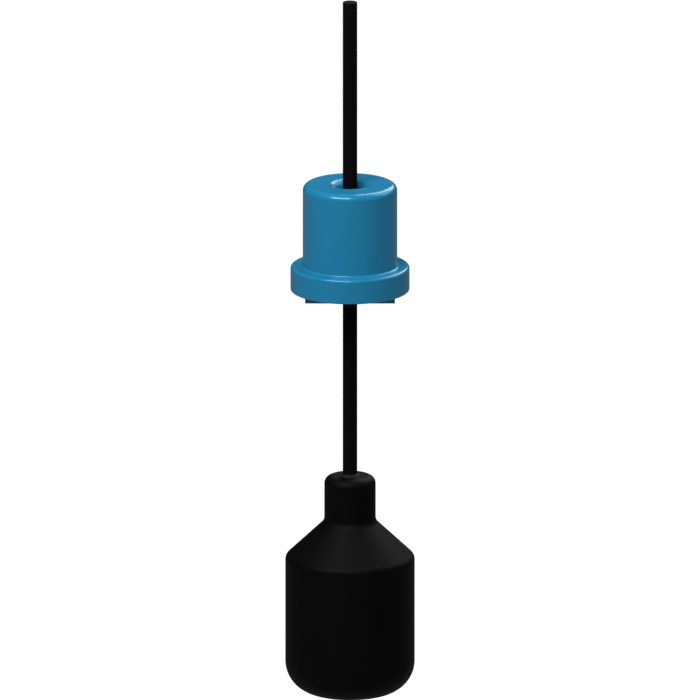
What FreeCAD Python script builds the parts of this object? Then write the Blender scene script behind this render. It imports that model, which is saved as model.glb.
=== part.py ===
"""Cable float switch with a counterweight that slides on its cable.

Millimetres. The origin is the centre of the cable's cut upper end, and everything hangs below it along -Z.
The front, where the fixed half of the clamp bar sits, faces -Y.
"""
import FreeCAD, Part
import math
import os

# Driving dimensions: cable, as depths below its cut end
CABLE_R = 4.5
CORE_R = 1.4
CORE_PITCH_R = 1.75
CONDUCTOR_R = 0.65
HELD_LENGTH = 40.0
FLEX_TOP = 207.0
FLEX_BOTTOM = 287.0

# Driving dimensions: counterweight, as depths below the cable's end
WEIGHT_TOP = 116.2
FLANGE_TOP = 168.3
WEIGHT_BOTTOM = 183.6
WEIGHT_R = 29.2
FLANGE_R = 36.8
WEIGHT_WALL = 3.0
BORE_R = 8.7
BAR_LENGTH = 55.6
BAR_DEPTH = 18.0
BAR_HEIGHT = 7.0

# Driving dimensions: float, as depths below the top of its neck
FLOAT_TOP = 302.7
NECK_R = 15.9
NECK_LENGTH = 28.5
SHOULDER = 51.5
BODY_R = 40.0
FLOAT_LENGTH = 137.8
FLOAT_WALL = 2.5
WELD = 60.0
BOTTOM_ROUND = 19.8

# Driving dimensions: capsule, switch and ball, as depths below the top of the neck
CAPSULE_TOP = 50.0
CAPSULE_BOTTOM = 121.0
CAPSULE_R = 23.0
CAPSULE_WALL = 2.0
SWITCH_TOP = 62.0
SWITCH_LENGTH = 27.8
SWITCH_DEPTH = 10.3
SWITCH_HEIGHT = 15.9
LEVER_PIVOT_X = -11.9
LEVER_ANGLE = 8.13
PLUNGER_X = -4.0
BLADE_PIVOT_X = -11.0
BALL_R = 9.5
BALL_REST = 106.2

# Gaps: a tight fit, pieces fixed together, turning or sliding ones, and curved neighbours
TIGHT_GAP = 0.02
FIXED_GAP = 0.05
RUNNING_GAP = 0.06
FREE_GAP = 0.3

# How far a cutting tool runs past what it cuts
OVERRUN = 1.0

# Cores: colour, angle round the cable's axis, and the place of its terminal along X
TERMINAL_PITCH = 7.4
CORES = (("brown", 210.0, -TERMINAL_PITCH), ("blue", 330.0, TERMINAL_PITCH), ("black", 90.0, 0.0))

UP = FreeCAD.Vector(0, 0, 1)
ALONG_X = FreeCAD.Vector(1, 0, 0)
ALONG_Y = FreeCAD.Vector(0, 1, 0)
ORIGIN = FreeCAD.Vector(0, 0, 0)
CUP_STRETCHES = 4


def point(x, y, z):
    return FreeCAD.Vector(x, y, z)


def at(depth):
    """Height of a point on the float, from its depth below the top of the neck."""
    return -(FLOAT_TOP + depth)


def rounded_edges(points, radii, closed):
    """Straight runs through the points, with a tangent arc at each corner that has a radius.

    A negative radius makes a straight bevel of that size.
    """
    count = len(points)
    starts, ends, turns = list(points), list(points), [None] * count
    for i, radius in enumerate(radii):
        if not radius:
            continue
        corner = points[i]
        back = (points[i - 1] - corner).normalize()
        ahead = (points[(i + 1) % count] - corner).normalize()
        if radius < 0:
            starts[i] = corner - back * radius
            ends[i] = corner - ahead * radius
            turns[i] = Part.LineSegment(starts[i], ends[i]).toShape()
            continue
        half = back.getAngle(ahead) / 2
        inward = (back + ahead).normalize()
        starts[i] = corner + back * (radius / math.tan(half))
        ends[i] = corner + ahead * (radius / math.tan(half))
        middle = corner + inward * (radius / math.sin(half) - radius)
        turns[i] = Part.Arc(starts[i], middle, ends[i]).toShape()
    edges = []
    for i in range(count):
        if turns[i]:
            edges.append(turns[i])
        if i < count - 1 or closed:
            following = starts[(i + 1) % count]
            if ends[i].distanceToPoint(following) > 1e-6:
                edges.append(Part.LineSegment(ends[i], following).toShape())
    return edges


def turned(corners, x=0.0):
    """A solid of revolution from (radius, z) or (radius, z, rounding) corners, about an upright axis at x.

    A negative rounding is a straight bevel of that size.
    """
    points = [point(corner[0], 0, corner[1]) for corner in corners]
    radii = [corner[2] if len(corner) > 2 else 0 for corner in corners]
    face = Part.Face(Part.Wire(rounded_edges(points, radii, True)))
    solid = face.revolve(ORIGIN, UP, 360)
    solid.translate(point(x, 0, 0))
    return solid


def cup_bottom(radius, bottom, rounding):
    """Corners of a rounded cup bottom from the axis outwards, in a few straight stretches."""
    corners = [(0, bottom)]
    for i in range(CUP_STRETCHES + 1):
        angle = math.radians(90.0 * i / CUP_STRETCHES)
        out = radius - rounding * (1 - math.sin(angle))
        up = bottom + rounding * (1 - math.cos(angle))
        corners.append((out, up))
    return corners


def ring(outer, inner, top, bottom):
    """A plain round sleeve between two heights."""
    return turned([(inner, top), (outer, top), (outer, bottom), (inner, bottom)])


def rod(radius, start, end):
    """A round bar between two points."""
    return Part.makeCylinder(radius, (end - start).Length, start, end - start)


def block(one, other):
    """A box between two opposite corners."""
    low = point(min(one.x, other.x), min(one.y, other.y), min(one.z, other.z))
    return Part.makeBox(abs(other.x - one.x), abs(other.y - one.y), abs(other.z - one.z), low)


def wire_through(points, radius, bend):
    """A round wire through the points, with bends of one radius."""
    radii = [0] + [bend] * (len(points) - 2) + [0]
    path = Part.Wire(rounded_edges(points, radii, False))
    start = Part.Wire(Part.makeCircle(radius, points[0], points[1] - points[0]))
    return path.makePipeShell([start], True, True)


def round_the_axis(count, radius, first_angle):
    """Places evenly spaced on a circle round the cable's axis."""
    for i in range(count):
        angle = math.radians(first_angle + 360.0 * i / count)
        yield radius * math.cos(angle), radius * math.sin(angle)


# Cable: a sheath over three cores. It ends inside the float, and its cores go on to the switch.

SEAL_GRIP = 10.0
TAIL_END = 44.0
CORE_FAN = 45.5
CORE_SETTLED = 52.0
CORE_BEND_R = 2.5
TERMINAL_TOP = 57.5
STRIPPED_LENGTH = 1.4


def core_place(angle):
    """Where a core lies in the cable's section."""
    angle = math.radians(angle)
    return CORE_PITCH_R * math.cos(angle), CORE_PITCH_R * math.sin(angle)


def sheath(top, bottom):
    """Rubber sheath between two depths, with the three core holes through it."""
    tube = Part.makeCylinder(CABLE_R, bottom - top, point(0, 0, -bottom))
    for _, angle, _ in CORES:
        x, y = core_place(angle)
        tube = tube.cut(Part.makeCylinder(CORE_R + FIXED_GAP, bottom - top, point(x, y, -bottom)))
    return tube


def upper_core(angle):
    """Insulation of one core in the straight upper cable, from the cut end to the bending stretch."""
    x, y = core_place(angle)
    outside = Part.makeCylinder(CORE_R, FLEX_TOP, point(x, y, -FLEX_TOP))
    inside = Part.makeCylinder(CONDUCTOR_R + TIGHT_GAP, FLEX_TOP, point(x, y, -FLEX_TOP))
    return outside.cut(inside)


def upper_conductors():
    """Copper of the three cores in the upper cable."""
    rods = []
    for _, angle, _ in CORES:
        x, y = core_place(angle)
        rods.append(Part.makeCylinder(CONDUCTOR_R, FLEX_TOP, point(x, y, -FLEX_TOP)))
    return Part.makeCompound(rods)


def cable_flex():
    """The stretch between counterweight and float that bends when the float swings."""
    return Part.makeCylinder(CABLE_R, FLEX_BOTTOM - FLEX_TOP, point(0, 0, -FLEX_BOTTOM))


def lower_core(angle, terminal_x, radius=CORE_R):
    """One core inside the float, from the bending stretch to its terminal on the switch."""
    x, y = core_place(angle)
    points = [
        point(x, y, -FLEX_BOTTOM),
        point(x, y, at(CORE_FAN)),
        point(terminal_x, 0, at(CORE_SETTLED)),
        point(terminal_x, 0, at(TERMINAL_TOP)),
    ]
    return wire_through(points, radius, CORE_BEND_R)


def conductor_ends():
    """Bare copper of the three cores, where it is soldered into the switch's terminals."""
    rods = []
    for _, _, x in CORES:
        tip = point(x, 0, at(TERMINAL_TOP + STRIPPED_LENGTH))
        rods.append(rod(CONDUCTOR_R, point(x, 0, at(TERMINAL_TOP)), tip))
    return Part.makeCompound(rods)


# Counterweight: a moulded casing over a cast ring, with a screwed cover underneath and a sleeve in its bore

LIP_ROUND = 4.5
TOP_ROUND = 4.1
ROOT_ROUND = 1.2
FLANGE_ROUND = 1.7
EDGE_BREAK = 0.4
CEILING_BEVEL = 1.5
TUBE_R = 11.3
COVER_THICK = 3.1
COVER_R = 33.8
COVER_SCREWS = 4
BOSS_PITCH_R = 30.2
FIRST_BOSS = 45.0
BOSS_R = 3.0
BOSS_ROOT = 0.5
PILOT_R = 1.15
PILOT_FLOOR = 1.0

BALLAST_BORE_R = 13.0
BALLAST_HEIGHT = 49.4
BALLAST_LIFT = 0.1
BALLAST_BEVEL = 1.0
BALLAST_TOP_BEVEL = 2.0

GUIDE_TOP = 128.0
GUIDE_BOTTOM = 178.0
GUIDE_FUNNEL = 3.0
GUIDE_EXIT = 2.0


def weight_casing():
    """Blue moulded shell: flared bore, round body, flange with four screw bosses, open underneath."""
    seat = -(WEIGHT_BOTTOM - COVER_THICK)
    roof = -(FLANGE_TOP + WEIGHT_WALL)
    ceiling = -(WEIGHT_TOP + WEIGHT_WALL)
    shell = turned([
        (BORE_R, -WEIGHT_TOP, LIP_ROUND),
        (WEIGHT_R, -WEIGHT_TOP, TOP_ROUND),
        (WEIGHT_R, -FLANGE_TOP, ROOT_ROUND),
        (FLANGE_R, -FLANGE_TOP, FLANGE_ROUND),
        (FLANGE_R, -WEIGHT_BOTTOM, -EDGE_BREAK),
        (COVER_R + FIXED_GAP, -WEIGHT_BOTTOM),
        (COVER_R + FIXED_GAP, roof),
        (WEIGHT_R - WEIGHT_WALL, roof),
        (WEIGHT_R - WEIGHT_WALL, ceiling, -CEILING_BEVEL),
        (TUBE_R, ceiling),
        (TUBE_R, seat),
        (BORE_R, seat),
    ])
    for x, y in round_the_axis(COVER_SCREWS, BOSS_PITCH_R, FIRST_BOSS):
        shell = shell.fuse(Part.makeCylinder(BOSS_R, roof - seat + BOSS_ROOT, point(x, y, seat)))
    for x, y in round_the_axis(COVER_SCREWS, BOSS_PITCH_R, FIRST_BOSS):
        shell = shell.cut(Part.makeCylinder(PILOT_R, roof - seat - PILOT_FLOOR, point(x, y, seat)))
    return shell.removeSplitter()


def iron_ballast():
    """Cast ring that sits on the base cover, round the casing's central tube."""
    bottom = -(WEIGHT_BOTTOM - COVER_THICK - BALLAST_LIFT)
    top = bottom + BALLAST_HEIGHT
    outer = WEIGHT_R - WEIGHT_WALL - FREE_GAP
    return turned([
        (BALLAST_BORE_R, top, -BALLAST_BEVEL),
        (outer, top, -BALLAST_TOP_BEVEL),
        (outer, bottom, -BALLAST_BEVEL),
        (BALLAST_BORE_R, bottom, -BALLAST_BEVEL),
    ])


def cable_guide():
    """Sleeve in the casing's bore that runs on the cable, with a funnel at each end."""
    run = CABLE_R + RUNNING_GAP
    outer = BORE_R - FIXED_GAP
    return turned([
        (run, -(GUIDE_TOP + GUIDE_FUNNEL)),
        (run + GUIDE_FUNNEL, -GUIDE_TOP),
        (outer, -GUIDE_TOP),
        (outer, -GUIDE_BOTTOM),
        (run + GUIDE_EXIT, -GUIDE_BOTTOM),
        (run, -(GUIDE_BOTTOM - GUIDE_EXIT)),
    ])


COVER_HOLE_R = 1.3
COVER_SINK_R = 2.7
COVER_SINK_DEPTH = 1.4
COVER_SCREW_R = 1.1
COVER_HEAD_R = 2.6
COVER_HEAD_HEIGHT = 1.5
COVER_SCREW_LENGTH = 8.0
CROSS_LENGTH = 3.2
CROSS_WIDTH = 0.6
CROSS_DEPTH = 0.8


def cover_screws():
    """Four countersunk self-tapping screws with a cross drive, flush with the base cover."""
    screws = []
    face = -WEIGHT_BOTTOM + FIXED_GAP
    for x, y in round_the_axis(COVER_SCREWS, BOSS_PITCH_R, FIRST_BOSS):
        screw = Part.makeCone(COVER_HEAD_R, COVER_SCREW_R, COVER_HEAD_HEIGHT, point(x, y, face))
        screw = screw.fuse(Part.makeCylinder(COVER_SCREW_R, COVER_SCREW_LENGTH, point(x, y, face)))
        for along_x, along_y in ((CROSS_LENGTH, CROSS_WIDTH), (CROSS_WIDTH, CROSS_LENGTH)):
            low = point(x - along_x / 2, y - along_y / 2, -WEIGHT_BOTTOM)
            high = point(x + along_x / 2, y + along_y / 2, -WEIGHT_BOTTOM + CROSS_DEPTH)
            screw = screw.cut(block(low, high))
        screws.append(screw.removeSplitter())
    return Part.makeCompound(screws)


# Clamp bar: the front half is moulded on the base cover, and two screws pull the loose rear half towards it

CLAMP_SCREW_X = 18.0
CLAMP_Z = -(WEIGHT_BOTTOM + BAR_HEIGHT / 2)
JAW_SPLIT = 0.6
JAW_DROP = 0.1
GROOVE_R = CABLE_R + FIXED_GAP
BAR_BREAK = 0.8
M3_R = 1.5
M3_HEAD_R = 2.75
M3_HEAD_HEIGHT = 2.4
M3_SOCKET_FLATS = 2.5
M3_SOCKET_DEPTH = 1.4
M3_NUT_FLATS = 5.5
M3_NUT_THICK = 2.4
NUT_Y = -6.0
NUT_SLACK = 0.1
SCREW_PAST_NUT = 0.8
BOLT_SLACK = 0.2
JAW_BOLT_SLACK = 0.1
HEAD_SLACK = 0.15
HEAD_SINK = 0.2
SCREW_SINK = 0.15
BAR_SKIN = 1.2


def half_bar(y_inner, y_outer):
    """One half of the clamp bar, with its lower outer edge broken and a half-round groove for the cable."""
    end = -BAR_LENGTH / 2
    bottom = -(WEIGHT_BOTTOM + BAR_HEIGHT)
    corners = [
        point(end, y_inner, -WEIGHT_BOTTOM),
        point(end, y_outer, -WEIGHT_BOTTOM),
        point(end, y_outer, bottom),
        point(end, y_inner, bottom),
    ]
    section = Part.Face(Part.Wire(rounded_edges(corners, (0, 0, -BAR_BREAK, 0), True)))
    bar = section.extrude(ALONG_X * BAR_LENGTH)
    groove = Part.makeCylinder(GROOVE_R, BAR_HEIGHT + 2 * OVERRUN, point(0, 0, bottom - OVERRUN))
    return bar.cut(groove)


def hexagon(x, flats, thick, y):
    """A hexagonal prism along Y at the height of the clamp's screws, with two of its flats upright."""
    corner_r = flats / math.sqrt(3)
    corners = []
    for i in range(7):
        angle = math.radians(30 + 60 * i)
        corners.append(point(x + corner_r * math.cos(angle), y, CLAMP_Z + corner_r * math.sin(angle)))
    return Part.Face(Part.makePolygon(corners)).extrude(ALONG_Y * thick)


def nut_slot(x):
    """Room for a nut in the fixed half, open underneath so that the nut can be pushed in."""
    width = M3_NUT_FLATS + 2 * NUT_SLACK
    thick = M3_NUT_THICK + 2 * NUT_SLACK
    low = point(x - width / 2, NUT_Y - NUT_SLACK, -(WEIGHT_BOTTOM + BAR_HEIGHT))
    high = point(x + width / 2, NUT_Y - NUT_SLACK + thick, CLAMP_Z)
    return hexagon(x, width, thick, NUT_Y - NUT_SLACK).fuse(block(low, high))


def base_cover():
    """Cover that closes the casing, in one moulding with the fixed front half of the clamp bar."""
    top = -(WEIGHT_BOTTOM - COVER_THICK)
    cover = ring(COVER_R, CABLE_R + FREE_GAP, top, -WEIGHT_BOTTOM)
    cover = cover.fuse(half_bar(-JAW_SPLIT, -BAR_DEPTH / 2))
    for x, y in round_the_axis(COVER_SCREWS, BOSS_PITCH_R, FIRST_BOSS):
        foot = point(x, y, -WEIGHT_BOTTOM)
        cover = cover.cut(Part.makeCylinder(COVER_HOLE_R, COVER_THICK, foot))
        cover = cover.cut(Part.makeCone(COVER_SINK_R, COVER_HOLE_R, COVER_SINK_DEPTH, foot))
    for x in (-CLAMP_SCREW_X, CLAMP_SCREW_X):
        bore_end = point(x, BAR_SKIN - BAR_DEPTH / 2, CLAMP_Z)
        cover = cover.cut(rod(M3_R + BOLT_SLACK, bore_end, point(x, 0, CLAMP_Z)))
        cover = cover.cut(nut_slot(x))
    return cover.removeSplitter()


def clamp_jaw():
    """Loose rear half of the clamp bar, with counterbored holes for its two screws."""
    jaw = half_bar(JAW_SPLIT, BAR_DEPTH / 2)
    jaw.translate(point(0, 0, -JAW_DROP))
    sink = BAR_DEPTH / 2 - M3_HEAD_HEIGHT - HEAD_SINK
    past_bar = BAR_DEPTH / 2 + OVERRUN
    for x in (-CLAMP_SCREW_X, CLAMP_SCREW_X):
        jaw = jaw.cut(rod(M3_R + JAW_BOLT_SLACK, point(x, 0, CLAMP_Z), point(x, past_bar, CLAMP_Z)))
        jaw = jaw.cut(rod(M3_HEAD_R + HEAD_SLACK, point(x, sink, CLAMP_Z), point(x, past_bar, CLAMP_Z)))
    return jaw


def clamp_screws():
    """Two socket screws that pull the loose jaw towards the fixed one, and stay in the jaw when undone."""
    screws = []
    under_head = BAR_DEPTH / 2 - M3_HEAD_HEIGHT - SCREW_SINK
    head_face = under_head + M3_HEAD_HEIGHT
    for x in (-CLAMP_SCREW_X, CLAMP_SCREW_X):
        shank = rod(M3_R, point(x, NUT_Y - SCREW_PAST_NUT, CLAMP_Z), point(x, under_head, CLAMP_Z))
        head = rod(M3_HEAD_R, point(x, under_head, CLAMP_Z), point(x, head_face, CLAMP_Z))
        socket = hexagon(x, M3_SOCKET_FLATS, M3_SOCKET_DEPTH + OVERRUN, head_face - M3_SOCKET_DEPTH)
        screws.append(shank.fuse(head).cut(socket).removeSplitter())
    return Part.makeCompound(screws)


def clamp_nuts():
    """Two nuts held in slots of the fixed jaw."""
    nuts = []
    for x in (-CLAMP_SCREW_X, CLAMP_SCREW_X):
        hole = rod(M3_R + RUNNING_GAP, point(x, NUT_Y - OVERRUN, CLAMP_Z), point(x, 0, CLAMP_Z))
        nuts.append(hexagon(x, M3_NUT_FLATS, M3_NUT_THICK, NUT_Y).cut(hole))
    return Part.makeCompound(nuts)


# Float: two shells welded together round a foam filling, with the cable's seal and gland in the neck

NECK_ROUND = 4.8
NECK_ROOT_ROUND = 5.6
SHOULDER_ROUND = 4.2
TONGUE_R = 38.7
TONGUE_HEIGHT = 3.0
TONGUE_GAP = 0.1
CONE_RISE = (SHOULDER - NECK_LENGTH) / (BODY_R - NECK_R)
CONE_WALL = FLOAT_WALL * math.sqrt(1 + CONE_RISE ** 2)
FOAM_TOP = 30.0
CORE_ROOM_R = 9.5

SEAL_R = 10.5
SEAL_TOP = 3.5
SEAL_BOTTOM = 18.0
SEAL_NOSE_R = 6.5
SEAL_RIBS = 3
RIB_DEPTH = 0.7
NOSE_HEIGHT = 1.5
NOSE_ROOT = 0.2
NOSE_EDGE = 0.6

WASHER_R = 12.4
WASHER_BORE_R = 4.8
WASHER_BOTTOM = 19.5
NUT_BORE_R = 12.6
NUT_TOP = 19.6
NUT_BOTTOM = 27.6
NUT_HOLE_R = 6.0
NUT_BEVEL = 0.6
SPANNER_SLOT_WIDTH = 3.0
SPANNER_SLOT_DEPTH = 2.0

CRIMP_TOP = 30.0
CRIMP_BOTTOM = 40.0
CRIMP_R = 6.4
CRIMP_GROOVE_R = 5.7
CRIMP_GROOVES = (33.1, 36.9)
CRIMP_GROOVE_HALF = 0.5
CRIMP_SLOPE = 0.6


def cone_inside(radius):
    """Depth of the cone's inner wall at a radius."""
    return NECK_LENGTH + (radius - NECK_R) * CONE_RISE + CONE_WALL


def float_upper():
    """Upper shell: neck with the seal's pocket and the gland's bore, cone, shoulder and welded rim."""
    inner = BODY_R - FLOAT_WALL
    return turned([
        (SEAL_NOSE_R, at(0)),
        (NECK_R, at(0), NECK_ROUND),
        (NECK_R, at(NECK_LENGTH), NECK_ROOT_ROUND),
        (BODY_R, at(SHOULDER), SHOULDER_ROUND),
        (BODY_R, at(WELD)),
        (TONGUE_R, at(WELD)),
        (TONGUE_R, at(WELD - TONGUE_HEIGHT)),
        (inner, at(WELD - TONGUE_HEIGHT)),
        (inner, at(cone_inside(inner))),
        (NUT_BORE_R, at(cone_inside(NUT_BORE_R))),
        (NUT_BORE_R, at(SEAL_BOTTOM)),
        (SEAL_R, at(SEAL_BOTTOM)),
        (SEAL_R, at(SEAL_TOP)),
        (SEAL_NOSE_R, at(SEAL_TOP)),
    ])


def float_lower():
    """Lower shell: a deep cup with a large rounded bottom and a tongue welded inside the upper rim."""
    inner = BODY_R - FLOAT_WALL
    tongue = TONGUE_R - FIXED_GAP
    tongue_top = WELD - TONGUE_HEIGHT + TONGUE_GAP
    return turned([
        (0, at(FLOAT_LENGTH)),
        (BODY_R, at(FLOAT_LENGTH), BOTTOM_ROUND),
        (BODY_R, at(WELD)),
        (tongue, at(WELD)),
        (tongue, at(tongue_top)),
        (inner, at(tongue_top)),
        *reversed(cup_bottom(inner, at(FLOAT_LENGTH - FLOAT_WALL), BOTTOM_ROUND - FLOAT_WALL)),
    ])


def foam_fill():
    """Closed-cell foam that fills the shells round the capsule, up to the gland."""
    outer = BODY_R - FLOAT_WALL - FREE_GAP
    top_r = NECK_R + (FOAM_TOP - 2 * FREE_GAP - CONE_WALL - NECK_LENGTH) / CONE_RISE
    inner = CAPSULE_R + FREE_GAP
    floor = at(FLOAT_LENGTH - FLOAT_WALL - FREE_GAP)
    return turned([
        *cup_bottom(outer, floor, BOTTOM_ROUND - FLOAT_WALL - FREE_GAP),
        (outer, at(cone_inside(outer) + 2 * FREE_GAP)),
        (top_r, at(FOAM_TOP)),
        (CORE_ROOM_R, at(FOAM_TOP)),
        (CORE_ROOM_R, at(CAPSULE_TOP - FREE_GAP)),
        (inner, at(CAPSULE_TOP - FREE_GAP)),
        (inner, at(CAPSULE_BOTTOM + FREE_GAP)),
        (0, at(CAPSULE_BOTTOM + FREE_GAP)),
    ])


def cable_seal():
    """Rubber seal squeezed round the cable: a soft conical lip, and ribs that press on the neck's pocket."""
    grip = CABLE_R + TIGHT_GAP
    nose = SEAL_NOSE_R - FIXED_GAP
    rib = SEAL_R - FIXED_GAP
    top = SEAL_TOP + FIXED_GAP
    bottom = SEAL_BOTTOM - FIXED_GAP
    pitch = (bottom - top) / SEAL_RIBS
    corners = [
        (grip, at(-NOSE_HEIGHT)),
        (grip + NOSE_EDGE, at(-NOSE_HEIGHT)),
        (nose, at(-NOSE_ROOT)),
        (nose, at(top)),
        (rib, at(top)),
    ]
    for i in range(1, SEAL_RIBS):
        groove = top + i * pitch
        corners += [
            (rib, at(groove - 2 * RIB_DEPTH)),
            (rib - RIB_DEPTH, at(groove - RIB_DEPTH)),
            (rib - RIB_DEPTH, at(groove + RIB_DEPTH)),
            (rib, at(groove + 2 * RIB_DEPTH)),
        ]
    corners += [(rib, at(bottom)), (grip, at(bottom))]
    return turned(corners)


def gland_nut():
    """Threaded ring screwed into the neck from inside, with two slots for its spanner."""
    outer = NUT_BORE_R - FIXED_GAP
    nut = turned([
        (NUT_HOLE_R, at(NUT_TOP)),
        (outer, at(NUT_TOP)),
        (outer, at(NUT_BOTTOM), -NUT_BEVEL),
        (NUT_HOLE_R, at(NUT_BOTTOM), -NUT_BEVEL),
    ])
    low = point(-NECK_R, -SPANNER_SLOT_WIDTH / 2, at(NUT_BOTTOM + OVERRUN))
    high = point(NECK_R, SPANNER_SLOT_WIDTH / 2, at(NUT_BOTTOM - SPANNER_SLOT_DEPTH))
    return nut.cut(block(low, high))


def cable_crimp():
    """Steel ring crimped on the sheath below the gland, with two pressed grooves."""
    grip = CABLE_R + TIGHT_GAP
    corners = [(grip, at(CRIMP_TOP)), (CRIMP_R, at(CRIMP_TOP), -EDGE_BREAK)]
    for groove in CRIMP_GROOVES:
        corners += [
            (CRIMP_R, at(groove - CRIMP_GROOVE_HALF - CRIMP_SLOPE)),
            (CRIMP_GROOVE_R, at(groove - CRIMP_GROOVE_HALF)),
            (CRIMP_GROOVE_R, at(groove + CRIMP_GROOVE_HALF)),
            (CRIMP_R, at(groove + CRIMP_GROOVE_HALF + CRIMP_SLOPE)),
        ]
    corners += [(CRIMP_R, at(CRIMP_BOTTOM), -EDGE_BREAK), (grip, at(CRIMP_BOTTOM))]
    return turned(corners)


# Capsule: a watertight cup and its cap, which carries the switch, with resin poured round the cores

CAP_THICK = 4.0
CAP_BEVEL = 1.0
SPIGOT_HEIGHT = 5.0
RING_GROOVE_DEPTH = 1.5
RING_GROOVE_WIDTH = 2.0
RING_GROOVE_TOP = CAPSULE_TOP + CAP_THICK + 1.4
RING_THICK = 1.4
RING_BEVEL = 0.4
WELL_R = 15.0
WELL_DEPTH = 3.0
WELL_LEFT_FREE = 0.4
CORE_HOLE_R = CORE_R + 0.6
CUP_BEVEL = 2.5
CUP_INNER_BEVEL = 0.8
BRACKET_THICK = 2.4
BRACKET_ROOT = 1.0
BRACKET_GAP = 0.1
SWITCH_MID = SWITCH_TOP + SWITCH_HEIGHT / 2
HOLE_X = 11.1
HOLE_RISE = 5.15
SWITCH_HOLES = ((-HOLE_X, SWITCH_MID - HOLE_RISE), (HOLE_X, SWITCH_MID + HOLE_RISE))
SWITCH_SCREW_R = 1.2


def capsule_cap():
    """Cap with a potting well on top, a ring groove on its spigot, and the plate that carries the switch."""
    spigot = CAPSULE_R - CAPSULE_WALL - FIXED_GAP
    rim = CAPSULE_TOP + CAP_THICK
    cap = turned([
        (0, at(CAPSULE_TOP + WELL_DEPTH)),
        (WELL_R, at(CAPSULE_TOP + WELL_DEPTH)),
        (WELL_R, at(CAPSULE_TOP)),
        (CAPSULE_R, at(CAPSULE_TOP), -CAP_BEVEL),
        (CAPSULE_R, at(rim)),
        (spigot, at(rim)),
        (spigot, at(RING_GROOVE_TOP)),
        (spigot - RING_GROOVE_DEPTH, at(RING_GROOVE_TOP)),
        (spigot - RING_GROOVE_DEPTH, at(RING_GROOVE_TOP + RING_GROOVE_WIDTH)),
        (spigot, at(RING_GROOVE_TOP + RING_GROOVE_WIDTH)),
        (spigot, at(rim + SPIGOT_HEIGHT)),
        (0, at(rim + SPIGOT_HEIGHT)),
    ])
    for _, _, x in CORES:
        through = point(x, 0, at(rim + SPIGOT_HEIGHT + OVERRUN))
        cap = cap.cut(rod(CORE_HOLE_R, point(x, 0, at(CAPSULE_TOP)), through))
    back = -(SWITCH_DEPTH / 2 + BRACKET_GAP)
    low = point(-SWITCH_LENGTH / 2, back - BRACKET_THICK, at(SWITCH_TOP + SWITCH_HEIGHT))
    high = point(SWITCH_LENGTH / 2, back, at(rim + SPIGOT_HEIGHT - BRACKET_ROOT))
    cap = cap.fuse(block(low, high))
    for x, depth in SWITCH_HOLES:
        behind = point(x, back - BRACKET_THICK - OVERRUN, at(depth))
        cap = cap.cut(rod(SWITCH_SCREW_R + FIXED_GAP, behind, point(x, 0, at(depth))))
    return cap.removeSplitter()


def capsule_body():
    """Watertight cup that hangs from the cap's spigot."""
    inner = CAPSULE_R - CAPSULE_WALL
    top = at(CAPSULE_TOP + CAP_THICK + FIXED_GAP)
    return turned([
        (0, at(CAPSULE_BOTTOM)),
        (CAPSULE_R, at(CAPSULE_BOTTOM), -CUP_BEVEL),
        (CAPSULE_R, top),
        (inner, top),
        (inner, at(CAPSULE_BOTTOM - CAPSULE_WALL), -CUP_INNER_BEVEL),
        (0, at(CAPSULE_BOTTOM - CAPSULE_WALL)),
    ])


def capsule_o_ring():
    """Rubber ring squeezed in the groove, so its round section has flats on all sides."""
    outer = CAPSULE_R - CAPSULE_WALL - FIXED_GAP
    inner = outer - RING_THICK
    top = at(RING_GROOVE_TOP + (RING_GROOVE_WIDTH - RING_THICK) / 2)
    bottom = top - RING_THICK
    section = ((inner, top), (outer, top), (outer, bottom), (inner, bottom))
    return turned([(radius, height, -RING_BEVEL) for radius, height in section])


def potting():
    """Resin poured round the cores in the cap's well."""
    top = at(CAPSULE_TOP + WELL_LEFT_FREE)
    disc = ring(WELL_R - FIXED_GAP, 0, top, at(CAPSULE_TOP + WELL_DEPTH - FIXED_GAP))
    for _, angle, x in CORES:
        disc = disc.cut(lower_core(angle, x, CORE_R + FIXED_GAP))
    return disc


# Switch: a snap switch with a lever. The lever lifts the plunger, and the plunger flips the contact blade.

CASE_WALL = 1.2
COVER_SEAM = 0.02
LUG_HEIGHT = 3.0
LUG_HALF = 1.8
LUG_THICK = 1.2
LUG_GAP = 0.1
PILLAR_R = 1.9
PILLAR_ROOT = 0.5
SCREW_HOLE_R = 1.3
LEVER_PIVOT = SWITCH_TOP + SWITCH_HEIGHT + 1.5
LEVER_PIN_R = 0.8
LEVER_WIDTH = 4.4
LEVER_THICK = 0.5
LEVER_REACH = 24.6
LEVER_CURL_R = 1.4
PIN_PAST_LEVER = 1.5
PLUNGER_R = 1.3
PLUNGER_TIP = 80.1
PLUNGER_TOP = 72.0
PLUNGER_TIP_BEVEL = 0.6
PLUNGER_TOP_BEVEL = 0.5
COLLAR_R = 2.2
COLLAR_TOP = 75.6
COLLAR_BOTTOM = 76.6
TERMINAL_SLOT_HALF_WIDTH = 1.65
TERMINAL_SLOT_HALF_THICK = 0.45
TERMINAL_SLOT_DEPTH = 2.0


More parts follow.
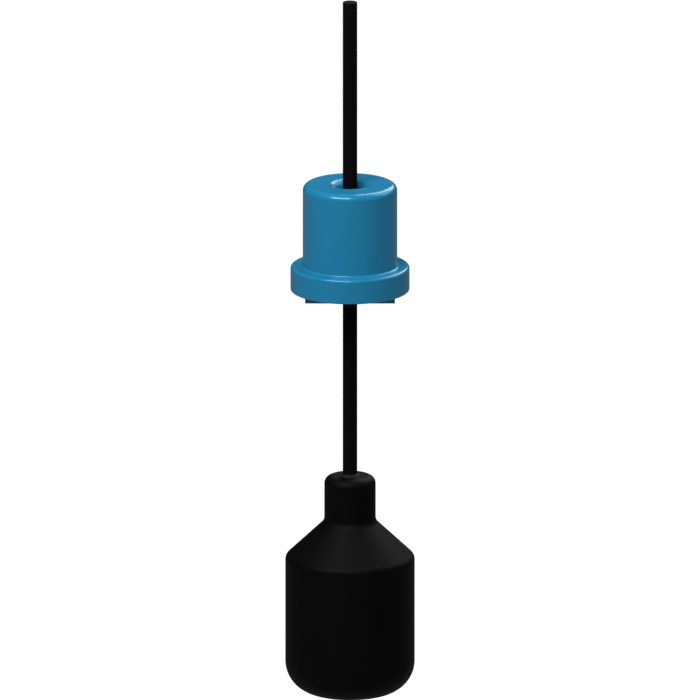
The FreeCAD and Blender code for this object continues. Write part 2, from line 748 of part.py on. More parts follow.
def switch_case():
    """Moulded case, open on the cover's side, with the lever's two lugs underneath."""
    half = SWITCH_LENGTH / 2
    front = SWITCH_DEPTH / 2
    bottom = at(SWITCH_TOP + SWITCH_HEIGHT)
    case = block(point(-half, -front, bottom), point(half, front - CASE_WALL, at(SWITCH_TOP)))
    cavity_low = point(-half + CASE_WALL, -front + CASE_WALL, bottom + CASE_WALL)
    case = case.cut(block(cavity_low, point(half - CASE_WALL, front, at(SWITCH_TOP + CASE_WALL))))
    for side in (-1, 1):
        y = side * (LEVER_WIDTH / 2 + LUG_GAP)
        lug_low = point(LEVER_PIVOT_X - LUG_HALF, y, bottom - LUG_HEIGHT)
        case = case.fuse(block(lug_low, point(LEVER_PIVOT_X + LUG_HALF, y + side * LUG_THICK, bottom)))
    for x, depth in SWITCH_HOLES:
        foot = point(x, -front + PILLAR_ROOT, at(depth))
        case = case.fuse(rod(PILLAR_R, foot, point(x, front - CASE_WALL, at(depth))))
        behind = point(x, -front - OVERRUN, at(depth))
        case = case.cut(rod(SCREW_HOLE_R, behind, point(x, front + OVERRUN, at(depth))))
    pin_start = point(LEVER_PIVOT_X, -LEVER_WIDTH, at(LEVER_PIVOT))
    pin_end = point(LEVER_PIVOT_X, LEVER_WIDTH, at(LEVER_PIVOT))
    case = case.cut(rod(LEVER_PIN_R + TIGHT_GAP, pin_start, pin_end))
    hole_low = point(PLUNGER_X, 0, bottom - OVERRUN)
    case = case.cut(rod(PLUNGER_R + RUNNING_GAP, hole_low, point(PLUNGER_X, 0, bottom + 2 * OVERRUN)))
    for _, _, x in CORES:
        slot_low = point(x - TERMINAL_SLOT_HALF_WIDTH, -TERMINAL_SLOT_HALF_THICK, at(SWITCH_TOP - OVERRUN))
        slot_high = point(x + TERMINAL_SLOT_HALF_WIDTH, TERMINAL_SLOT_HALF_THICK,
                          at(SWITCH_TOP + TERMINAL_SLOT_DEPTH))
        case = case.cut(block(slot_low, slot_high))
    return case.removeSplitter()


def switch_cover():
    """Plate that closes the switch's case."""
    half = SWITCH_LENGTH / 2
    front = SWITCH_DEPTH / 2
    low = point(-half, front - CASE_WALL + COVER_SEAM, at(SWITCH_TOP + SWITCH_HEIGHT))
    plate = block(low, point(half, front, at(SWITCH_TOP)))
    for x, depth in SWITCH_HOLES:
        plate = plate.cut(rod(SCREW_HOLE_R, point(x, 0, at(depth)), point(x, front + OVERRUN, at(depth))))
    return plate


TERMINAL_FOOT_LAP = 0.1
TERMINAL_BLADE_TOP = TERMINAL_TOP + 1.6
TERMINAL_HALF_THICK = 0.4
SOLDER_CUP_R = 1.5
SOLDER_CUP_TOP = TERMINAL_TOP + 0.1
SOLDER_CUP_BOTTOM = TERMINAL_TOP + 1.8
SOLDER_WELL_R = CONDUCTOR_R + 0.03
SOLDER_WELL_BOTTOM = TERMINAL_TOP + 1.5
STRIP_HALF = 1.6
STRIP_THICK = 0.6
CONTACT_X = 7.0
CONTACT_R = 1.3
CONTACT_THICK = 0.9
COMMON_START_X = -11.8
COMMON_END_X = -7.0
COMMON_TOP = 69.4
COMMON_STOP_X = -10.6
COMMON_STOP = 71.55
UPPER_START_X = 5.4
STRIP_END_X = 9.0
UPPER_TOP = 66.5
UPPER_BOTTOM = 67.5
UPPER_BUTTON_BOTTOM = 68.35
LOWER_BACK = -3.3
LOWER_TOP = 65.0
LOWER_BOTTOM = 74.6
LOWER_BUTTON_BOTTOM = 74.05
BLADE_DEPTH = 71.6
BLADE_THICK = 0.35
BLADE_HALF = 1.8
BLADE_TIP = 2.0
BUTTON_LENGTH = 2.6
BUTTON_BOTTOM = BLADE_DEPTH + 1.5
TONGUE_START_X = -2.0
TONGUE_END_X = 4.6
TONGUE_SLOT_HALF = 1.1
TONGUE_SLOT = 0.4


def terminal(x, foot):
    """A flat blade through the top of the case, with a solder cup above and a foot inside."""
    blade_low = point(x - STRIP_HALF, -TERMINAL_HALF_THICK, at(foot))
    blade = block(blade_low, point(x + STRIP_HALF, TERMINAL_HALF_THICK, at(TERMINAL_BLADE_TOP)))
    cup = rod(SOLDER_CUP_R, point(x, 0, at(SOLDER_CUP_BOTTOM)), point(x, 0, at(SOLDER_CUP_TOP)))
    well = rod(SOLDER_WELL_R, point(x, 0, at(SOLDER_WELL_BOTTOM)), point(x, 0, at(TERMINAL_TOP)))
    return blade.fuse(cup).cut(well)


def strip(x_start, x_end, top, bottom):
    """A stretch of contact strip at its full width, between two depths."""
    return block(point(x_start, -STRIP_HALF, at(bottom)), point(x_end, STRIP_HALF, at(top)))


def contact_button(bottom, length):
    return Part.makeCylinder(CONTACT_R, length, point(CONTACT_X, 0, at(bottom)))


def switch_terminals():
    """Common, upper contact and lower contact, each one bent strip with its foot or contact button."""
    common = terminal(-TERMINAL_PITCH, COMMON_TOP + TERMINAL_FOOT_LAP)
    common = common.fuse(strip(COMMON_START_X, COMMON_END_X, COMMON_TOP, COMMON_TOP + STRIP_THICK))
    common = common.fuse(strip(COMMON_START_X, COMMON_STOP_X, COMMON_TOP, COMMON_STOP))
    upper = terminal(TERMINAL_PITCH, UPPER_TOP + TERMINAL_FOOT_LAP)
    upper = upper.fuse(strip(UPPER_START_X, STRIP_END_X, UPPER_TOP, UPPER_BOTTOM))
    upper = upper.fuse(contact_button(UPPER_BUTTON_BOTTOM, CONTACT_THICK))
    lower = terminal(0.0, LOWER_TOP + STRIP_THICK)
    back_top = point(-STRIP_HALF, LOWER_BACK, at(LOWER_TOP))
    shelf_end = point(STRIP_HALF, TERMINAL_HALF_THICK, at(LOWER_TOP + STRIP_THICK))
    drop_end = point(STRIP_HALF, LOWER_BACK + STRIP_THICK, at(LOWER_BOTTOM))
    arm_start = point(-STRIP_HALF, LOWER_BACK, at(LOWER_BOTTOM - STRIP_THICK))
    lower = lower.fuse(block(back_top, shelf_end))
    lower = lower.fuse(block(back_top, drop_end))
    lower = lower.fuse(block(arm_start, point(STRIP_END_X, STRIP_HALF, at(LOWER_BOTTOM))))
    lower = lower.fuse(contact_button(LOWER_BUTTON_BOTTOM, CONTACT_THICK))
    return Part.makeCompound([common.removeSplitter(), upper.removeSplitter(), lower.removeSplitter()])


def contact_blade():
    """Spring strip with a tongue cut free in its middle, and a contact button near its free end."""
    low = point(BLADE_PIVOT_X, -BLADE_HALF, at(BLADE_DEPTH + BLADE_THICK))
    blade = block(low, point(CONTACT_X + BLADE_TIP, BLADE_HALF, at(BLADE_DEPTH)))
    below = at(BLADE_DEPTH + OVERRUN)
    above = at(BLADE_DEPTH - OVERRUN)
    half = TONGUE_SLOT_HALF
    window = block(point(TONGUE_START_X, -half, below), point(TONGUE_END_X, half, above))
    half -= TONGUE_SLOT
    tongue = block(point(TONGUE_START_X + TONGUE_SLOT, -half, below), point(TONGUE_END_X, half, above))
    blade = blade.cut(window.cut(tongue))
    return blade.fuse(contact_button(BUTTON_BOTTOM, BUTTON_LENGTH)).removeSplitter()


def switch_plunger():
    """Pin between the lever and the blade, with a collar that keeps it in the case."""
    return turned([
        (0, at(PLUNGER_TIP)),
        (PLUNGER_R, at(PLUNGER_TIP), -PLUNGER_TIP_BEVEL),
        (PLUNGER_R, at(COLLAR_BOTTOM)),
        (COLLAR_R, at(COLLAR_BOTTOM)),
        (COLLAR_R, at(COLLAR_TOP)),
        (PLUNGER_R, at(COLLAR_TOP)),
        (PLUNGER_R, at(PLUNGER_TOP), -PLUNGER_TOP_BEVEL),
        (0, at(PLUNGER_TOP)),
    ], PLUNGER_X)


def switch_lever():
    """Flat lever with a curled end that turns on the pin, resting a few degrees below the case."""
    pivot = point(LEVER_PIVOT_X, 0, at(LEVER_PIVOT))
    across = ALONG_Y * (LEVER_WIDTH / 2)
    lift = UP * (LEVER_THICK / 2)
    lever = rod(LEVER_CURL_R, pivot - across, pivot + across)
    lever = lever.fuse(block(pivot - across - lift, pivot + ALONG_X * LEVER_REACH + across + lift))
    lever = lever.cut(rod(LEVER_PIN_R + FIXED_GAP, pivot - across * 2, pivot + across * 2))
    lever.rotate(pivot, ALONG_Y, LEVER_ANGLE)
    return lever.removeSplitter()


def lever_pin():
    """Pin through the lever's curl and the case's two lugs."""
    half = ALONG_Y * (LEVER_WIDTH / 2 + PIN_PAST_LEVER)
    pivot = point(LEVER_PIVOT_X, 0, at(LEVER_PIVOT))
    return rod(LEVER_PIN_R, pivot - half, pivot + half)


SCREW_PAST_CASE = 2.2
SCREW_HEAD_R = 2.2
SCREW_HEAD_TOP = 1.6
SLOT_HALF_LENGTH = 1.8
SLOT_HALF_WIDTH = 0.3
SLOT_DEPTH = 0.7


def switch_screws():
    """Two small slotted screws through the switch into the cap's plate."""
    screws = []
    front = SWITCH_DEPTH / 2
    face = front + SCREW_HEAD_TOP
    for x, depth in SWITCH_HOLES:
        under_head = point(x, front + FIXED_GAP, at(depth))
        shank = rod(SWITCH_SCREW_R, point(x, -front - SCREW_PAST_CASE, at(depth)), under_head)
        head = rod(SCREW_HEAD_R, under_head, point(x, face, at(depth)))
        slot_low = point(x - SLOT_HALF_LENGTH, face - SLOT_DEPTH, at(depth) - SLOT_HALF_WIDTH)
        slot_high = point(x + SLOT_HALF_LENGTH, face + OVERRUN, at(depth) + SLOT_HALF_WIDTH)
        screws.append(shank.fuse(head).cut(block(slot_low, slot_high)).removeSplitter())
    return Part.makeCompound(screws)


# Ball and basket: the ball rolls towards the switch when the float tips over, and back when it hangs

CAGE_TOP = 85.0
CAGE_FLOOR = 116.0
CAGE_DISH = 0.6
CAGE_WALL = 1.7
CAGE_RIM = 2.2
CAGE_GAP = 0.15
SEAT_INSET = 3.0
SEAT_RISE = 3.4
WINDOW_WIDTH = 8.0
WINDOW_SILL = 6.0
WINDOW_HEAD = 2.0


def ball_cage():
    """Basket with four windows that stands on the capsule's floor and guides the ball."""
    track = BALL_R + FREE_GAP
    fit = CAPSULE_R - CAPSULE_WALL - CAGE_GAP
    floor = CAPSULE_BOTTOM - CAPSULE_WALL - FIXED_GAP
    cage = turned([
        (0, at(CAGE_FLOOR + CAGE_DISH)),
        (track - SEAT_INSET, at(CAGE_FLOOR)),
        (track, at(CAGE_FLOOR - SEAT_RISE)),
        (track, at(CAGE_TOP)),
        (fit, at(CAGE_TOP)),
        (fit, at(CAGE_TOP + CAGE_RIM)),
        (track + CAGE_WALL, at(CAGE_TOP + CAGE_RIM)),
        (track + CAGE_WALL, at(floor - CAGE_RIM)),
        (fit, at(floor - CAGE_RIM)),
        (fit, at(floor), -CUP_INNER_BEVEL),
        (0, at(floor)),
    ])
    reach = fit + OVERRUN
    for turn in (0, 90):
        low = point(-reach, -WINDOW_WIDTH / 2, at(CAGE_FLOOR - WINDOW_SILL))
        window = block(low, point(reach, WINDOW_WIDTH / 2, at(CAGE_TOP + CAGE_RIM + WINDOW_HEAD)))
        window.rotate(ORIGIN, UP, turn)
        cage = cage.cut(window)
    return cage


def build_nodes():
    """Every sub-part, by the name of its node."""
    nodes = {
        "cable_end": sheath(0, HELD_LENGTH),
        "cable_upper": sheath(HELD_LENGTH, FLEX_TOP),
        "conductors_upper": upper_conductors(),
        "cable_flex": cable_flex(),
        "cable_lower": sheath(FLEX_BOTTOM, FLOAT_TOP + SEAL_GRIP),
        "cable_tail": sheath(FLOAT_TOP + SEAL_GRIP, FLOAT_TOP + TAIL_END),
        "conductor_ends": conductor_ends(),
        "weight_casing": weight_casing(),
        "iron_ballast": iron_ballast(),
        "cable_guide": cable_guide(),
        "base_cover": base_cover(),
        "cover_screws": cover_screws(),
        "clamp_nuts": clamp_nuts(),
        "clamp_jaw": clamp_jaw(),
        "clamp_screws": clamp_screws(),
        "float_upper": float_upper(),
        "float_lower": float_lower(),
        "foam_fill": foam_fill(),
        "cable_seal": cable_seal(),
        "gland_washer": ring(WASHER_R, WASHER_BORE_R, at(SEAL_BOTTOM), at(WASHER_BOTTOM)),
        "gland_nut": gland_nut(),
        "cable_crimp": cable_crimp(),
        "capsule_cap": capsule_cap(),
        "capsule_body": capsule_body(),
        "capsule_o_ring": capsule_o_ring(),
        "potting": potting(),
        "switch_case": switch_case(),
        "switch_cover": switch_cover(),
        "switch_terminals": switch_terminals(),
        "contact_blade": contact_blade(),
        "switch_plunger": switch_plunger(),
        "switch_lever": switch_lever(),
        "lever_pin": lever_pin(),
        "switch_screws": switch_screws(),
        "ball_cage": ball_cage(),
        "steel_ball": Part.makeSphere(BALL_R, point(0, 0, at(BALL_REST))),
    }
    for colour, angle, terminal_x in CORES:
        nodes[f"core_{colour}_upper"] = upper_core(angle)
        nodes[f"core_{colour}_lower"] = lower_core(angle, terminal_x)
    return nodes


os.makedirs("parts", exist_ok=True)
for name, shape in build_nodes().items():
    shape.exportStep(f"parts/{name}.step")
    print(name, "valid" if shape.isValid() else "NOT VALID", len(shape.Solids), round(shape.Volume, 1))
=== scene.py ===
"""Looks of a cable float switch: a black cable, a blue counterweight clamped on it, and a black float.

Metres, in the part's own frame. The cable's cut end is the origin, and all the rest hangs below it.
"""
import math

import bmesh
import bpy
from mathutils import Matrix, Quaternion, Vector


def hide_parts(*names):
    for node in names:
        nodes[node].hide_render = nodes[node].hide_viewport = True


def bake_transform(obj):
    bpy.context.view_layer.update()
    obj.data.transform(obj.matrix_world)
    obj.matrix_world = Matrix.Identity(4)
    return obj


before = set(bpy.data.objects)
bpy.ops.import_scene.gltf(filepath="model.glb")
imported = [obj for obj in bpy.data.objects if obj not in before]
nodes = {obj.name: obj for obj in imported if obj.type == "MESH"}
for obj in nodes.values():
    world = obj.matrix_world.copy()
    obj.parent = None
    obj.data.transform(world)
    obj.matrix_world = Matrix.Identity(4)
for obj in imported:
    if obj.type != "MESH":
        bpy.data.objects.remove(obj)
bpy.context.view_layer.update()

# Camera: it stands in front, fifteen degrees above the horizon, and keeps parallel lines parallel.
# The picture is square, and 0.4325 m at the object fills it from side to side.
CAMERA_ELEVATION = math.radians(15.0)
CAMERA_DISTANCE = 2.0
PICTURE_SIDE = 0.43246
AIM = Vector((0.0, 0.0, -0.2225))

camera_data = bpy.data.cameras.new("camera")
camera_data.type = "ORTHO"
camera_data.ortho_scale = PICTURE_SIDE
camera = bpy.data.objects.new("camera", camera_data)
to_camera = Vector((0.0, -math.cos(CAMERA_ELEVATION), math.sin(CAMERA_ELEVATION)))
camera.location = AIM + CAMERA_DISTANCE * to_camera
camera.rotation_euler = (math.pi / 2 - CAMERA_ELEVATION, 0.0, 0.0)
bpy.context.scene.collection.objects.link(camera)
bpy.context.scene.camera = camera
bpy.context.scene.view_settings.view_transform = "Standard"

# Cable: a round 9 mm flexible cable with a black rubber sheath over three cores, pulled straight by its load.
# From its flat cut end it runs down through the counterweight and a rubber seal into the float's neck.
# The blade has rounded the rim of the cut a little, and the filling draws back between the ends of the cores.
CABLE_R = 0.0045
CABLE_LENGTH = 0.3127
RIM_INNER_R = 0.0036
CUT_ROUND = 0.0003
CUT_TURNS = (0.0, 30.0, 60.0)
CUT_RECESS = 0.0002
CUT_END = (0.0, 0.0, 0.0)
WEIGHT_TOP = (0.0, 0.0, -0.1162)
FLEX_TOP = (0.0, 0.0, -0.207)
FLEX_BOTTOM = (0.0, 0.0, -0.287)
GRIPPED_END = (0.0, 0.0, -CABLE_LENGTH)
ROUTE = (CUT_END, WEIGHT_TOP, FLEX_TOP, FLEX_BOTTOM, GRIPPED_END)
ROUTE_STEPS = 44
ROUTE_ORDER = 3
SHEATH_SIDES = 48
SAME_SPOT = 1e-6
LEVEL_FACE = 0.9
SHEATH_BLACK = (7, 7, 8)
SHEATH_DUSTY = (11, 11, 12)


class Value:
    """What one node of a finish gives out. Sums and products of values add Math nodes to the finish."""

    def __init__(self, finish, socket):
        self.finish = finish
        self.socket = socket

    def math(self, operation, one, other):
        return self.finish.node("ShaderNodeMath", {"operation": operation}, {0: one, 1: other})

    def __add__(self, other):
        return self.math("ADD", self, other)

    def __sub__(self, other):
        return self.math("SUBTRACT", self, other)

    def __rsub__(self, other):
        return self.math("SUBTRACT", other, self)

    def __mul__(self, other):
        return self.math("MULTIPLY", self, other)

    __radd__ = __add__
    __rmul__ = __mul__


class Finish:
    """A material, or the world, to which nodes are added."""

    def __init__(self, owner, shader="Principled BSDF"):
        owner.use_nodes = True
        self.owner = owner
        self.tree = owner.node_tree
        self.shader = self.tree.nodes[shader]

    def node(self, kind, settings, sockets, output=0):
        """Adds a node with its settings first, then the values or links of its sockets.

        Gives one of its outputs.
        """
        made = self.tree.nodes.new(kind)
        for name, value in settings.items():
            if name == "stops":
                self.place_stops(made.color_ramp, value)
            else:
                setattr(made, name, value)
        for key, value in sockets.items():
            self.fill(made.inputs[key], value)
        return Value(self, made.outputs[output])

    def place_stops(self, ramp, stops):
        while len(ramp.elements) < len(stops):
            ramp.elements.new(0.5)
        for element, (position, level) in zip(ramp.elements, stops):
            element.position = position
            element.color = (level, level, level, 1.0)

    def fill(self, socket, value):
        if isinstance(value, Value):
            self.tree.links.new(value.socket, socket)
        else:
            socket.default_value = value

    def set(self, **sockets):
        """Fills sockets of the shader, whose names are given with underscores."""
        for name, value in sockets.items():
            self.fill(self.shader.inputs[name.replace("_", " ")], value)

    def where(self, stretch=(1.0, 1.0, 1.0), source="Object", turn=(0.0, 0.0, 0.0)):
        """Places on the surface, turned and stretched."""
        spot = self.node("ShaderNodeTexCoord", {}, {}, source)
        return self.node("ShaderNodeMapping", {}, {"Vector": spot, "Rotation": turn, "Scale": stretch})

    def grain(self, size, where=None, detail=2.0, unevenness=0.55):
        """Soft noise from 0 to 1, with lumps of about this size in metres."""
        sockets = {"Scale": 1.0 / size, "Detail": detail, "Roughness": unevenness}
        sockets["Vector"] = where or self.where()
        return self.node("ShaderNodeTexNoise", {}, sockets, "Fac")

    def cells(self, size, where=None):
        """Distance from the middles of cells of about this size in metres, from 0 to about 1."""
        sockets = {"Scale": 1.0 / size, "Vector": where or self.where()}
        return self.node("ShaderNodeTexVoronoi", {}, sockets, "Distance")

    def stepped(self, value, *stops):
        """A value reshaped through stops, each a place from 0 to 1 and the level there."""
        return self.node("ShaderNodeValToRGB", {"stops": stops}, {"Fac": value})

    def mixed(self, amount, one, other):
        """A colour between two colours."""
        return self.node("ShaderNodeMix", {"data_type": "RGBA"}, {0: amount, 6: one, 7: other}, 2)

    def bump(self, height, depth):
        """Raises the surface by a height from 0 to 1 times a depth in metres."""
        self.set(Normal=self.node("ShaderNodeBump", {}, {"Height": height, "Distance": depth}))


def new_finish(name):
    return Finish(bpy.data.materials.new(name))


def between(low, high, value):
    """Runs from low to high as a value runs from 0 to 1."""
    return value * (high - low) + low


def colour(red, green, blue):
    """A colour written as a screen shows it, from 0 to 255, as shaders take it."""
    levels = []
    for level in (red / 255.0, green / 255.0, blue / 255.0):
        levels.append(level / 12.92 if level <= 0.04045 else ((level + 0.055) / 1.055) ** 2.4)
    return (*levels, 1.0)


def line_points(route, steps):
    """Points along the smooth line that a route's points steer."""
    data = bpy.data.curves.new("route", "CURVE")
    data.dimensions = "3D"
    spline = data.splines.new("NURBS")
    spline.points.add(len(route) - 1)
    for spot, place in zip(spline.points, route):
        spot.co = (*place, 1.0)
    spline.order_u = ROUTE_ORDER
    spline.use_endpoint_u = True
    spline.resolution_u = steps
    guide = bpy.data.objects.new("route", data)
    mesh = bpy.data.meshes.new_from_object(guide)
    points = [vertex.co.copy() for vertex in mesh.vertices]
    bpy.data.objects.remove(guide)
    bpy.data.meshes.remove(mesh)
    return points


def spun(profile, sides):
    """A closed round mesh from the radius and height of each corner of its half section."""
    bm = bmesh.new()
    corners = [bm.verts.new((radius, 0.0, height)) for radius, height in profile]
    edges = [bm.edges.new(pair) for pair in zip(corners, corners[1:])]
    bmesh.ops.spin(
        bm,
        geom=corners + edges,
        cent=(0, 0, 0),
        axis=(0, 0, 1),
        angle=math.tau,
        steps=sides,
        use_merge=True,
    )
    bmesh.ops.remove_doubles(bm, verts=bm.verts, dist=SAME_SPOT)
    bmesh.ops.recalc_face_normals(bm, faces=bm.faces)
    return bm


def sheath_mesh(points):
    """The sheath along the line, with a rounded rim at the cut.

    Its map holds the distance round the cable and the distance along it, in metres.
    """
    profile = [(0.0, -CUT_RECESS), (RIM_INNER_R, -CUT_RECESS), (RIM_INNER_R, 0.0)]
    for turn in CUT_TURNS:
        out = CUT_ROUND * math.sin(math.radians(turn))
        down = CUT_ROUND * (1 - math.cos(math.radians(turn)))
        profile.append((CABLE_R - CUT_ROUND + out, -down))
    profile.append((CABLE_R, -CUT_ROUND))
    profile += [(CABLE_R, spot.z) for spot in points if spot.z < -2 * CUT_ROUND]
    profile.append((0.0, points[-1].z))
    bm = spun(profile, SHEATH_SIDES)
    along = bm.loops.layers.uv.new("along")
    for face in bm.faces:
        face.smooth = abs(face.normal.z) < LEVEL_FACE
        middle = face.calc_center_median()
        centre = math.atan2(middle.y, middle.x)
        for loop in face.loops:
            angle = math.atan2(loop.vert.co.y, loop.vert.co.x)
            angle += math.tau * round((centre - angle) / math.tau)
            loop[along].uv = (angle * CABLE_R, -loop.vert.co.z)
    mesh = bpy.data.meshes.new("cable_sheath")
    bm.to_mesh(mesh)
    bm.free()
    return mesh


def sheath_finish():
    """Extruded rubber: near black and dull, with fine drawn lines and a little dust in its pores."""
    finish = new_finish("sheath_rubber")
    drawn = finish.grain(0.0006, finish.where((1.0, 0.04, 1.0), "UV"))
    pores = finish.grain(0.00035, finish.where(source="UV"), detail=4.0)
    clouds = finish.grain(0.03, finish.where((1.0, 0.5, 1.0), "UV"))
    finish.set(
        Base_Color=finish.mixed(clouds, colour(*SHEATH_BLACK), colour(*SHEATH_DUSTY)),
        Roughness=between(0.52, 0.68, pores),
        Specular_IOR_Level=0.04,
    )
    finish.bump(drawn * 0.6 + pores * 0.4, depth=0.00004)
    return finish


route_points = line_points(ROUTE, ROUTE_STEPS)
sheath = bpy.data.objects.new("cable_sheath", sheath_mesh(route_points))
bpy.context.scene.collection.objects.link(sheath)
sheath.data.materials.append(sheath_finish().owner)
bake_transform(sheath)
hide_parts("cable_end", "cable_upper", "cable_flex", "cable_lower")

# Cores: three conductors of fine bare copper strands, each in its own coloured insulation.
# Inside the float they leave the sheath's last stretch, below the seal, and fan out, still fresh.
# Their other ends lie open at the cut, where their colours are darkened as painted shade, which stands in for
# the shadow of a deeper recess.
CORE_COLOURS = {"brown": (92, 52, 30), "blue": (38, 84, 160), "black": (22, 22, 23)}
THIN_GAIN = 1.2
THIN_LIFT = 3
FRESH_DULLNESS = (0.36, 0.5)
FRESH_GLOSS = 0.5
# Painted shade: the cut core ends take their colours darkened to this share, and are dull, with little gloss.
CUT_SHADE_LEVEL = 0.2
CUT_CORE_DULLNESS = (0.71, 0.85)
CUT_CORE_GLOSS = 0.1
STRAND = 0.0002
FRESH_COPPER = ((196, 118, 78), (222, 152, 112))
FRESH_COPPER_DULLNESS = (0.28, 0.48)
# Painted shade: the copper at the cut is painted dark.
SHADED_CUT_COPPER = ((40, 28, 24), (56, 40, 32))
CUT_COPPER_DULLNESS = (0.6, 0.8)
TAIL_BLACK = (12, 12, 14)
TAIL_DUSTY = (20, 20, 22)


def dress(finish, *names):
    """Gives a finish to pieces whose shape is already right."""
    for name in names:
        for material_slot in nodes[name].material_slots:
            material_slot.material = finish.owner


def insulation_finish(name, shade, dullness, gloss):
    """Smooth insulation, a little paler in places where it was drawn thin."""
    finish = new_finish(name)
    clouds = finish.grain(0.004, finish.where((1.0, 1.0, 0.15)))
    lines = finish.grain(0.0005, finish.where((1.0, 1.0, 0.06)))
    thin = [level * THIN_GAIN + THIN_LIFT for level in shade]
    finish.set(
        Base_Color=finish.mixed(clouds, colour(*shade), colour(*thin)),
        Roughness=between(*dullness, finish.grain(0.0004)),
        Specular_IOR_Level=gloss,
    )
    finish.bump(lines, depth=0.00002)
    return finish


def copper_finish(name, shades, dullness):
    """Strands of bare copper, with round ends in a web where they are cut, and patches of age."""
    finish = new_finish(name)
    strands = finish.cells(STRAND, finish.where((1.0, 1.0, 0.02)))
    round_ends = finish.stepped(strands, (0.0, 1.0), (0.45, 0.8), (0.75, 0.0))
    aged = finish.grain(0.0015)
    finish.set(
        Base_Color=finish.mixed(aged, colour(*shades[0]), colour(*shades[1])),
        Roughness=between(*dullness, aged),
        Metallic=1.0,
    )
    finish.bump(round_ends, depth=0.00008)
    return finish


def tail_finish():
    """The sheath's last stretch inside the float, gripped and a little polished by its seal."""
    finish = new_finish("tail_rubber")
    pores = finish.grain(0.00035, detail=4.0)
    clouds = finish.grain(0.02)
    finish.set(
        Base_Color=finish.mixed(clouds, colour(*TAIL_BLACK), colour(*TAIL_DUSTY)),
        Roughness=between(0.45, 0.6, pores),
        Specular_IOR_Level=0.2,
    )
    finish.bump(pores, depth=0.00003)
    return finish


for core, shade in CORE_COLOURS.items():
    fresh = insulation_finish(f"fresh_{core}", shade, FRESH_DULLNESS, FRESH_GLOSS)
    dress(fresh, f"core_{core}_lower")
    # The cut ends get the core colours darkened, as painted shade.
    painted_shade_colour = [level * CUT_SHADE_LEVEL for level in shade]
    shaded_cut = insulation_finish(f"smeared_{core}", painted_shade_colour, CUT_CORE_DULLNESS, CUT_CORE_GLOSS)
    dress(shaded_cut, f"core_{core}_upper")
dress(copper_finish("fresh_copper", FRESH_COPPER, FRESH_COPPER_DULLNESS), "conductor_ends")
# The copper at the cut gets dark colours, as painted shade.
dress(copper_finish("shaded_cut_copper", SHADED_CUT_COPPER, CUT_COPPER_DULLNESS), "conductors_upper")
dress(tail_finish(), "cable_tail")

# Counterweight casing, base cover and clamp jaw: injection moulded in one blue plastic, glossy outside.
# The moulding shrinks as it cools, so its walls are never quite flat, and its colour flows in faint clouds.
BLUE_DEEP = (28, 116, 154)
BLUE_PALE = (32, 123, 163)
BLUE_GLOSS = (0.5, 0.78, 1.0, 1.0)


def blue_finish():
    finish = new_finish("blue_plastic")
    clouds = finish.grain(0.011, detail=3.0)
    waves = finish.grain(0.007)
    pores = finish.grain(0.0005)
    finish.set(
        Base_Color=finish.mixed(clouds, colour(*BLUE_DEEP), colour(*BLUE_PALE)),
        Roughness=between(0.16, 0.22, pores),
        Specular_IOR_Level=0.55,
        Specular_Tint=BLUE_GLOSS,
    )
    finish.bump(waves * 0.85 + pores * 0.04, depth=0.00004)
    return finish


dress(blue_finish(), "weight_casing", "base_cover", "clamp_jaw")

# Ballast: a ring of grey cast iron, left as it came out of the sand, that sits on the base cover.
# Its skin is dark and rough, with a bloom of rust where damp has reached it.
IRON_GREY = (74, 74, 77)
IRON_RUST = (112, 68, 44)
BARE_METALLIC = 0.75
RUSTY_METALLIC = 0.15


def iron_finish():
    finish = new_finish("cast_iron")
    sand = finish.grain(0.0012, detail=5.0)
    damp = finish.stepped(finish.grain(0.016, detail=4.0), (0.52, 0.0), (0.72, 1.0))
    finish.set(
        Base_Color=finish.mixed(damp, colour(*IRON_GREY), colour(*IRON_RUST)),
        Roughness=between(0.55, 0.9, sand),
        Metallic=between(BARE_METALLIC, RUSTY_METALLIC, damp),
    )
    finish.bump(sand, depth=0.0003)
    return finish


dress(iron_finish(), "iron_ballast")

# Cable guide and ball basket: turned and moulded in a slippery off-white plastic.
# It is dense and waxy, and carries the fine rings that a cutting tool leaves.
GUIDE_SHADE = (214, 212, 203)
GUIDE_PALE = (228, 226, 219)


def slippery_finish():
    finish = new_finish("white_guide_plastic")
    rings = finish.grain(0.0003, finish.where((0.02, 0.02, 1.0)))
    clouds = finish.grain(0.006)
    finish.set(
        Base_Color=finish.mixed(clouds, colour(*GUIDE_SHADE), colour(*GUIDE_PALE)),
        Roughness=between(0.36, 0.48, rings),
        Subsurface_Weight=0.1,
        Subsurface_Scale=0.002,
    )
    finish.bump(rings, depth=0.00002)
    return finish


dress(slippery_finish(), "cable_guide", "ball_cage")

# Fasteners and rings: pressed and turned from steel, and zinc plated.
# The plating is bright, with the cloudy bluish grey that it gets in the bath.
ZINC_BLUISH = (188, 192, 198)
ZINC_BRIGHT = (214, 214, 208)


def zinc_finish():
    finish = new_finish("zinc_steel")
    bath = finish.grain(0.0024, detail=3.0)
    marks = finish.grain(0.0004, finish.where((1.0, 1.0, 0.1)), detail=3.0)
    finish.set(
        Base_Color=finish.mixed(bath, colour(*ZINC_BLUISH), colour(*ZINC_BRIGHT)),
        Roughness=between(0.26, 0.44, bath * 0.5 + marks * 0.5),
        Metallic=1.0,
    )
    finish.bump(marks, depth=0.00002)
    return finish


dress(
    zinc_finish(),
    "cover_screws",
    "clamp_nuts",
    "clamp_screws",
    "gland_washer",
    "cable_crimp",
    "switch_screws",
    "lever_pin",
)

# Float shells: two deep mouldings in black plastic, welded together round the foam into one smooth bottle.
# The mould was finely sparked, so the skin is dull, with a grain that shows only from close by.
BLACK_DEEP = (4, 4, 4)
BLACK_PALE = (6, 6, 6)


